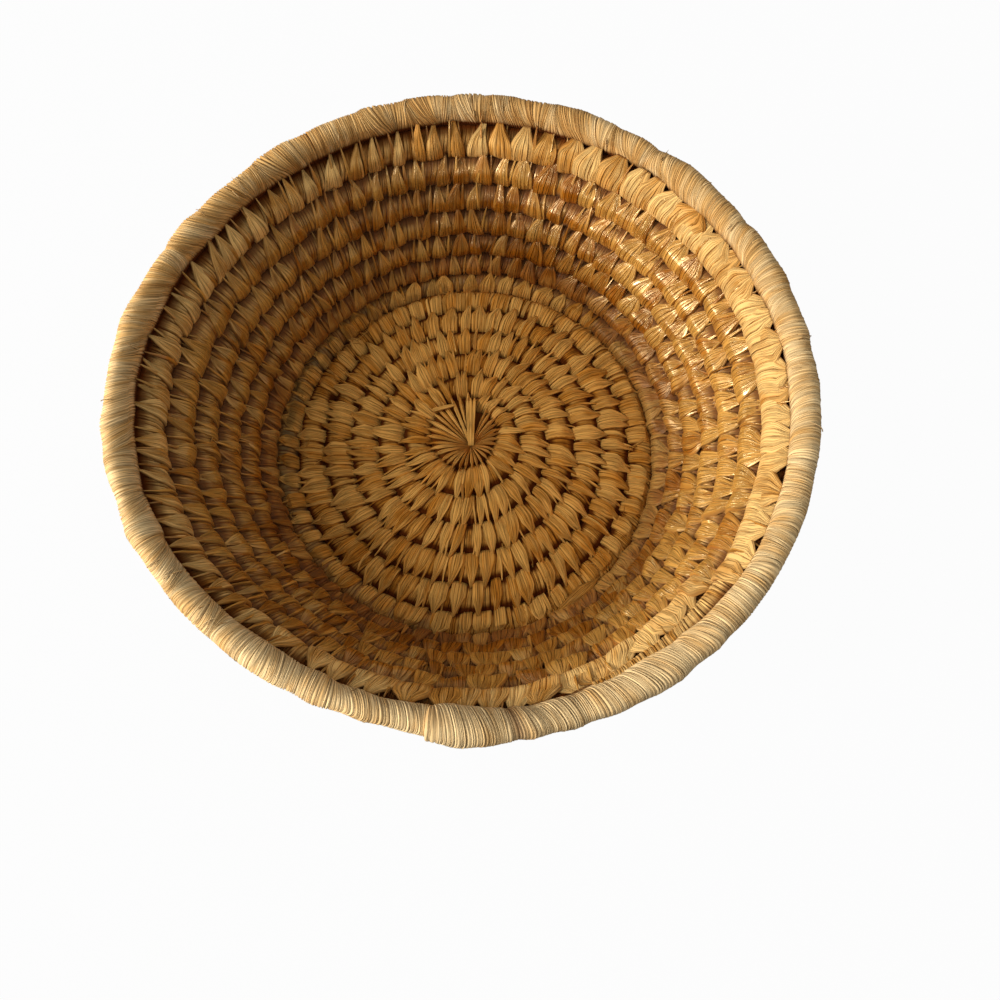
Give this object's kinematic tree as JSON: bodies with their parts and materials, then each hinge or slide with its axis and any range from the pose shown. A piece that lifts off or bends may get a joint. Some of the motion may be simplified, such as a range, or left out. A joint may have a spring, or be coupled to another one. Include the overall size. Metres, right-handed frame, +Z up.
{
  "type": "coiled basket bowl",
  "caption": "Round open basket bowl, coiled from a bundle of grass bound with palm strips: flat base, flared ribbed wall and a thick close-wrapped rim.",
  "frame": {"origin": "on the ground, under the middle of the bowl", "axes": "+Z up; +Y towards the side of the base where the coil starts, so the coil winds clockwise from +Y as seen from above"},
  "size_m": [0.309, 0.2984, 0.1117],
  "materials": {
    "palm_base": "dry palm leaf, matte to satin",
    "palm_wall": "dry palm leaf, satin",
    "palm_rim": "pale palm leaf, matte",
    "grass_core": "dry grass, matte"
  },
  "bodies": {
    "root": {"start_rosette": "palm_base", "start_strand": "palm_base", "core_bundle": "grass_core", "base_binding": "palm_base", "wall_binding_low": "palm_wall", "wall_binding_high": "palm_wall", "rim_binding_1": "palm_rim", "rim_binding_2": "palm_rim", "rim_binding_3": "palm_rim", "rim_tail": "palm_rim", "splice_tail": "palm_wall"}
  },
  "joints": []
}
